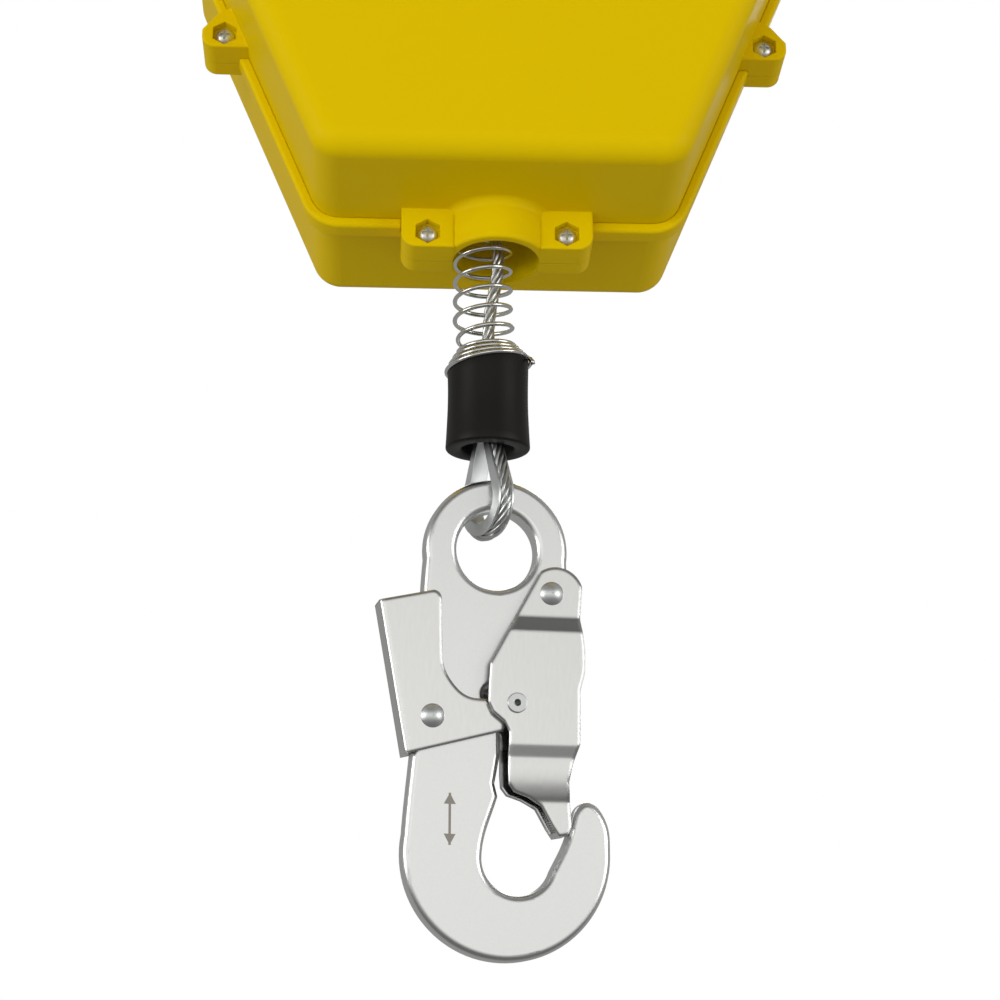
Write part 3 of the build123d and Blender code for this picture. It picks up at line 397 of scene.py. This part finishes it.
def make_materials():
    """One material for each slot of the record."""
    return {
        "yellow_abs": plastic("yellow_abs", (0.74, 0.55, 0.0), 0.40, 6e-6, 0.0006, 0.05),
        "zinc_fastener": metal("zinc_fastener", (0.82, 0.84, 0.83), 0.42),
        "frame_steel": metal("frame_steel", (0.70, 0.71, 0.72), 0.34),
        "forged_plate": metal("forged_plate", (0.90, 0.90, 0.89), 0.30, 4e-6, 0.0),
        "sheet_plate": metal("sheet_plate", (0.78, 0.775, 0.765), 0.18, 2e-6, 0.0015, (1, 1, 0.05)),
        "shaft_steel": metal("shaft_steel", (0.66, 0.67, 0.68), 0.25),
        "spring_steel": metal("spring_steel", (0.80, 0.81, 0.80), 0.20, 1e-6, 0.0),
        "blue_spring": metal("blue_spring", (0.24, 0.27, 0.33), 0.30),
        "rope_steel": metal("rope_steel", (0.66, 0.67, 0.66), 0.28, 1e-6, 0.0),
        "bronze": metal("bronze", (0.72, 0.50, 0.26), 0.35),
        "drum_metal": metal("drum_metal", (0.72, 0.73, 0.74), 0.50, 2e-5),
        "ferrule_metal": metal("ferrule_metal", (0.70, 0.71, 0.72), 0.42),
        "brake_lining": plastic("brake_lining", (0.12, 0.09, 0.07), 0.85, 4e-5),
        "nylon": plastic("nylon", (0.80, 0.78, 0.70), 0.45, 4e-6),
        "black_rubber": plastic("black_rubber", (0.008, 0.007, 0.006), 0.42, 1.2e-5, 0.0, 0.20),
    }


def finish_cad_nodes(frame, materials):
    for part in frame["record"]["subparts"]:
        node = frame["nodes"][part["node"]]
        node.data.materials.clear()
        node.data.materials.append(materials[part["material_slot"]])


# --- line pieces ------------------------------------------------------------------------------
def bent_path():
    """The cable's centre line: straight, then curving into the leaning line below."""
    path = []
    for k in range(STRAIGHT_STEPS + 1):
        height = GUIDE_TOP + (BEND_REACH - GUIDE_TOP) * k / STRAIGHT_STEPS
        path.append(BEND + Vector((0, 0, height)))
    start = BEND + Vector((0, 0, BEND_REACH))
    end = on_line(0, 0, -BEND_REACH)
    for k in range(1, BEND_STEPS + 1):
        t = k / BEND_STEPS
        path.append(start.lerp(BEND, t).lerp(BEND.lerp(end, t), t))
    for k in range(1, STRAIGHT_STEPS + 1):
        reach = BEND_REACH + (CABLE_END - BEND_REACH) * k / STRAIGHT_STEPS
        path.append(on_line(0, 0, -reach))
    bowed = []
    for p in path:
        away = (p.z - BEND.z - BOW_HEIGHT) / BOW_LENGTH
        bowed.append(p + Vector((BOW * math.exp(-away * away), 0, 0)))
    return evenly(bowed, PATH_STEP)


def stored_path(path):
    """The path again, with its points spaced for the cable's length at full payout.

    Also gives the rope's length at each point, which is longer than the path where paying out
    stretches the cable, so the strands are laid closer there at rest.
    """
    travel = lengths(path)
    whole = travel[-1]
    count = int((whole + PAYOUT) / PAYOUT_STEP)
    points = []
    drawn = []
    at = 0
    for k in range(PAYOUT_SAMPLES + 1):
        share = k / PAYOUT_SAMPLES
        long = whole * share + PAYOUT * share * share * (3 - 2 * share)
        if long < len(points) * (whole + PAYOUT) / count and k < PAYOUT_SAMPLES:
            continue
        while at < len(travel) - 2 and travel[at + 1] < whole * share:
            at += 1
        part = (whole * share - travel[at]) / (travel[at + 1] - travel[at])
        points.append(path[at].lerp(path[at + 1], part))
        drawn.append(long)
    return points, drawn


def hanging_cable(materials):
    """Two lengths of one rope: the upper one with its points spaced for full payout, the lower one
    curving into the leaning line.
    """
    path = bent_path()
    cut = BEND.z + BEND_REACH
    upper, drawn = stored_path([p for p in path if p.z >= cut])
    lower = [p for p in path if p.z < cut]
    side = Vector((1, 0, 0))
    steel = materials["rope_steel"]
    above = rope("cable_above_bend", upper, side, 0.0, steel, drawn)
    turn = 2 * math.pi * (drawn[-1] - PATH_STEP) / LAY
    below = rope("cable_below_bend", [upper[-1]] + lower, side, turn, steel)
    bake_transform(above)
    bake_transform(below)
    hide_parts("cable_upper")
    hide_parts("cable_lower")


def spring_path():
    """From the turned-down wire end on the bumper, round the flared foot and up the open coil."""
    path = []
    low = -BUMPER_TOP - FOOT_BASE
    for drop, sweep_back, out in WIRE_END:
        angle = FOOT_START + sweep_back
        radius = FOOT_R + out
        tilt = TOP_SLOPE * radius * math.cos(angle)
        path.append(on_line(radius * math.cos(angle), radius * math.sin(angle), low + tilt - drop))
    for k in range(int(FOOT_TURNS * COIL_STEPS)):
        turns = k / COIL_STEPS
        share = turns / FOOT_TURNS
        radius = FOOT_R + (COIL_R - FOOT_R) * share
        angle = FOOT_START + 2 * math.pi * turns
        x = radius * math.cos(angle)
        height = low + FOOT_PITCH * turns + (TOP_SLOPE + (COIL_SLOPE - TOP_SLOPE) * share) * x
        path.append(on_line(x, radius * math.sin(angle), height))
    base = low + FOOT_PITCH * FOOT_TURNS
    turn = FOOT_START + 2 * math.pi * FOOT_TURNS
    open_turns = (COIL_TOP - base) / COIL_PITCH
    for k in range(int(open_turns * COIL_STEPS) + 1):
        turns = k / COIL_STEPS
        angle = turn + 2 * math.pi * turns
        x = COIL_R * math.cos(angle)
        shift = COIL_SHIFT * min(1.0, turns / SHIFT_TURNS)
        height = base + COIL_PITCH * turns + COIL_SLOPE * x
        path.append(on_line(x + shift, COIL_R * math.sin(angle), height))
    return path


def stop_spring(materials):
    points = []
    faces = []
    path = spring_path()
    add_tube(points, faces, path, carried_normals(path, Vector((0.2, 0.1, 1))), WIRE_R, 12)
    spring = new_object("stop_spring_coil", points, faces, materials["spring_steel"])
    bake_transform(spring)
    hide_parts("stop_spring")


def bumper_rows():
    """Profile of the bumper: outside wall, then the stepped hole through it."""
    top = -BUMPER_TOP
    end = -BUMPER_END
    rows = []
    for k in range(7):
        angle = math.pi / 2 * k / 6
        radius = BUMPER_R - FLARE - TOP_EDGE + TOP_EDGE * math.sin(angle)
        rows.append((radius, top - TOP_EDGE + TOP_EDGE * math.cos(angle)))
    for k in range(1, 12):
        share = k / 12
        radius = BUMPER_R - FLARE - WAIST * math.sin(math.pi * share) + FLARE * share
        rows.append((radius, top - TOP_EDGE + (end - top + TOP_EDGE + END_EDGE) * share))
    for k in range(5):
        angle = math.pi / 2 * k / 4
        radius = BUMPER_R - END_EDGE + END_EDGE * math.cos(angle)
        rows.append((radius, end + END_EDGE - END_EDGE * math.sin(angle)))
    rows.append((MOUTH_R + MOUTH_TAPER + MOUTH_CHAMFER, end))
    rows.append((MOUTH_R + MOUTH_TAPER, end + MOUTH_CHAMFER))
    rows.append((MOUTH_R, -MOUTH_TOP))
    rows.append((POCKET_R, -POCKET_END))
    rows.append((POCKET_R, -POCKET_TOP))
    rows.append((CABLE_HOLE_R, -CABLE_HOLE_END))
    rows.append((CABLE_HOLE_R, top - DISH_DEPTH))
    rows.append((DISH_R, top))
    return rows


def bumper(materials):
    def shape(angle, radius, height):
        x = radius * math.cos(angle)
        y = radius * math.sin(angle)
        share = (height + BUMPER_END) / (BUMPER_END - BUMPER_TOP)
        wobble = BUMPER_WOBBLE * noise.noise(Vector((x * 0.12, y * 0.12, height * 0.1)))
        scale = 1 + wobble / max(radius, 6.0)
        return on_line(x * scale, y * scale, height + TOP_SLOPE * x * share**2)

    rubber = lathe("bumper_rubber", bumper_rows(), 72, shape, materials["black_rubber"])
    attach(rubber, "tail")
    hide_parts("rubber_bumper")


def loop_path():
    """Centre line of the rope round the thimble, in the loop's own plane."""
    span = math.hypot(NECK_HALF, LOOP_CENTRE - NECK)
    tilt = math.atan2(NECK_HALF, LOOP_CENTRE - NECK)
    angle = math.pi / 2 - tilt - math.acos(LOOP_R / span)
    touch = (LOOP_R * math.cos(angle), -LOOP_CENTRE + LOOP_R * math.sin(angle))
    side = [(LEG_HALF, -LEG_TOP), (LEG_HALF, -LEG_END)]
    for k in range(1, 9):
        t = k / 8
        ease = t * t * (3 - 2 * t)
        side.append((LEG_HALF + (NECK_HALF - LEG_HALF) * ease, -LEG_END + (LEG_END - NECK) * t))
    side.append(touch)
    round_end = []
    for k in range(1, 60):
        a = angle - (math.pi + 2 * angle) * k / 60
        round_end.append((LOOP_R * math.cos(a), -LOOP_CENTRE + LOOP_R * math.sin(a)))
    whole = side + round_end + [(-x, z) for x, z in reversed(side)]
    turn = Matrix.Rotation(-LOOP_TURN, 4, "Z")
    return evenly([line_matrix() @ turn @ Vector((x, 0, z)) for x, z in whole], LOOP_STEP)


def thimble_rope(materials):
    path = loop_path()
    across = line_matrix().to_3x3() @ Matrix.Rotation(-LOOP_TURN, 3, "Z") @ Vector((0, 1, 0))
    loop = rope("cable_in_thimble", path, across, LOOP_PHASE, materials["rope_steel"])
    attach(loop, "tail")
    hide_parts("cable_loop")


def return_spring(body, node, start, end, height, turns, materials):
    """Small coil in the hook's plane, from the hook (start) to the moving piece (end)."""
    steps = RETURN_STEPS * turns
    path = []
    for k in range(steps + 1):
        angle = 2 * math.pi * turns * k / steps
        along = start + (end - start) * k / steps
        across = height + RETURN_COIL_R * math.cos(angle)
        path.append(on_hook(along, across, RETURN_COIL_R * math.sin(angle)))
    points = []
    faces = []
    first = on_hook(start, height + 1, 0) - on_hook(start, height, 0)
    add_tube(points, faces, path, carried_normals(path, first), RETURN_WIRE_R, 10)
    coil = new_object(node + "_coil", points, faces, materials["spring_steel"])
    on_hook(start, height, 0) * MM
    on_hook(end, height, 0) * MM
    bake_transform(coil)
    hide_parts(node)


# --- stage ------------------------------------------------------------------------------------
def floor():
    """Pale ground; mirrored metal looks through it into the room instead."""
    signs = ((-1, -1), (1, -1), (1, 1), (-1, 1))
    corners = [Vector((x * FLOOR_HALF, y * FLOOR_HALF, 0)) / MM for x, y in signs]
    material, nodes, links, bsdf = shader("floor_paint")
    bsdf.inputs["Base Color"].default_value = (0.60, 0.62, 0.65, 1)
    bsdf.inputs["Roughness"].default_value = 0.9
    bsdf.inputs["Specular IOR Level"].default_value = 0.0
    path = nodes.new("ShaderNodeLightPath")
    glow = number(nodes, links, "MULTIPLY", path.outputs["Is Camera Ray"], FLOOR_GLOW)
    links.new(glow, bsdf.inputs["Emission Strength"])
    bsdf.inputs["Emission Color"].default_value = (0.93, 0.97, 1.0, 1)
    unseen = nodes.new("ShaderNodeBsdfTransparent")
    mix = nodes.new("ShaderNodeMixShader")
    links.new(path.outputs["Is Glossy Ray"], mix.inputs["Fac"])
    links.new(bsdf.outputs["BSDF"], mix.inputs[1])
    links.new(unseen.outputs["BSDF"], mix.inputs[2])
    links.new(mix.outputs["Shader"], nodes["Material Output"].inputs["Surface"])
    ground = new_object("floor", corners, [(0, 1, 2, 3)], material)
    ground.location.z = FLOOR_Z


def softbox(name, place, aim, width, height, watts, mirrored=True):
    light = bpy.data.lights.new(name, "AREA")
    light.shape = "RECTANGLE"
    light.size = width
    light.size_y = height
    light.energy = watts
    lamp = bpy.data.objects.new(name, light)
    lamp.location = place
    lamp.rotation_mode = "QUATERNION"
    lamp.rotation_quaternion = (Vector(aim) - Vector(place)).to_track_quat("-Z", "Y")
    bpy.context.scene.collection.objects.link(lamp)
    lamp.visible_glossy = mirrored


def surroundings():
    """White to the camera, even to soft light, and in reflections a room with a bright side."""
    world = bpy.data.worlds.new("studio")
    bpy.context.scene.world = world
    world.use_nodes = True
    world.cycles.sampling_method = "NONE"
    nodes = world.node_tree.nodes
    links = world.node_tree.links
    nodes.clear()
    out = nodes.new("ShaderNodeOutputWorld")
    back = nodes.new("ShaderNodeBackground")
    place = nodes.new("ShaderNodeTexCoord")
    flatten = nodes.new("ShaderNodeVectorMath")
    flatten.operation = "MULTIPLY"
    flatten.inputs[1].default_value = (1, 1, ROOM_FLATNESS)
    unit = nodes.new("ShaderNodeVectorMath")
    unit.operation = "NORMALIZE"
    facing = nodes.new("ShaderNodeVectorMath")
    facing.operation = "DOT_PRODUCT"
    facing.inputs[1].default_value = BRIGHT_SIDE
    ramp = nodes.new("ShaderNodeValToRGB")
    ramp.color_ramp.interpolation = "EASE"
    for position, grey in ROOM:
        stop = ramp.color_ramp.elements.new(position)
        stop.color = (grey, grey, grey * 0.985, 1)
    ramp.color_ramp.elements.remove(ramp.color_ramp.elements[0])
    ramp.color_ramp.elements.remove(ramp.color_ramp.elements[-1])
    path = nodes.new("ShaderNodeLightPath")
    soft = nodes.new("ShaderNodeMix")
    soft.data_type = "RGBA"
    soft.inputs["A"].default_value = (*SOFT_LIGHT, 1)
    seen = nodes.new("ShaderNodeMix")
    seen.data_type = "RGBA"
    seen.inputs["B"].default_value = (1, 1, 1, 1)
    links.new(place.outputs["Generated"], flatten.inputs[0])
    links.new(flatten.outputs["Vector"], unit.inputs[0])
    links.new(unit.outputs["Vector"], facing.inputs[0])
    links.new(facing.outputs["Value"], ramp.inputs["Fac"])
    links.new(path.outputs["Is Glossy Ray"], soft.inputs["Factor"])
    links.new(ramp.outputs["Color"], soft.inputs["B"])
    links.new(path.outputs["Is Camera Ray"], seen.inputs["Factor"])
    links.new(soft.outputs["Result"], seen.inputs["A"])
    links.new(seen.outputs["Result"], back.inputs["Color"])
    links.new(back.outputs["Background"], out.inputs["Surface"])


def lights():
    target = (0, 0, -0.25)
    softbox("key", (-0.55, -1.6, -0.45), target, 1.2, 0.5, 8.0, mirrored=False)
    softbox("left", (-1.5, -0.8, -0.35), target, 1.0, 0.8, 8.0)
    softbox("right", (1.5, -0.9, -0.35), target, 1.0, 0.8, 8.0)
    softbox("back", (0.3, 1.4, 1.0), target, 1.2, 0.8, 6.0)


def camera():
    looking = Vector(
        (
            math.sin(LOOK_RIGHT) * math.cos(LOOK_UP),
            math.cos(LOOK_RIGHT) * math.cos(LOOK_UP),
            math.sin(LOOK_UP),
        )
    )
    right = Vector((math.cos(LOOK_RIGHT), -math.sin(LOOK_RIGHT), 0))
    up = right.cross(looking)
    rolled_right = right * math.cos(ROLL) + up * math.sin(ROLL)
    rolled_up = up * math.cos(ROLL) - right * math.sin(ROLL)
    data = bpy.data.cameras.new("camera")
    data.lens = LENS
    data.sensor_width = SENSOR
    data.clip_start = 0.01
    data.clip_end = 50.0
    cam = bpy.data.objects.new("camera", data)
    place = (AIM - looking * DISTANCE) * MM
    axes = Matrix((rolled_right, rolled_up, -looking)).transposed()
    cam.matrix_world = Matrix.Translation(place) @ axes.to_4x4()
    bpy.context.scene.collection.objects.link(cam)
    bpy.context.scene.camera = cam


with open("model.json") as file:
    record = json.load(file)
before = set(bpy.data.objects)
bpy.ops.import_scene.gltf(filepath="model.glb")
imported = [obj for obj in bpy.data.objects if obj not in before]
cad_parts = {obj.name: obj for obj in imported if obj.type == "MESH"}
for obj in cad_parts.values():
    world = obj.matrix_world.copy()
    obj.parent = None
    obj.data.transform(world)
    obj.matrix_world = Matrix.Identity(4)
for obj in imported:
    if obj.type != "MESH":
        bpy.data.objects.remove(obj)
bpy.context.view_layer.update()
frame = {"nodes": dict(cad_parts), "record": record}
materials = make_materials()
arrow_mark(materials["forged_plate"])
finish_cad_nodes(frame, materials)
hanging_cable(materials)
stop_spring(materials)
bumper(materials)
thimble_rope(materials)
for pushed, spring_node, near, far, level, coils in RETURN_SPRINGS:
    return_spring(pushed, spring_node, near, far, level, coils, materials)
floor()
surroundings()
lights()
camera()
bpy.context.scene.view_settings.view_transform = "Standard"
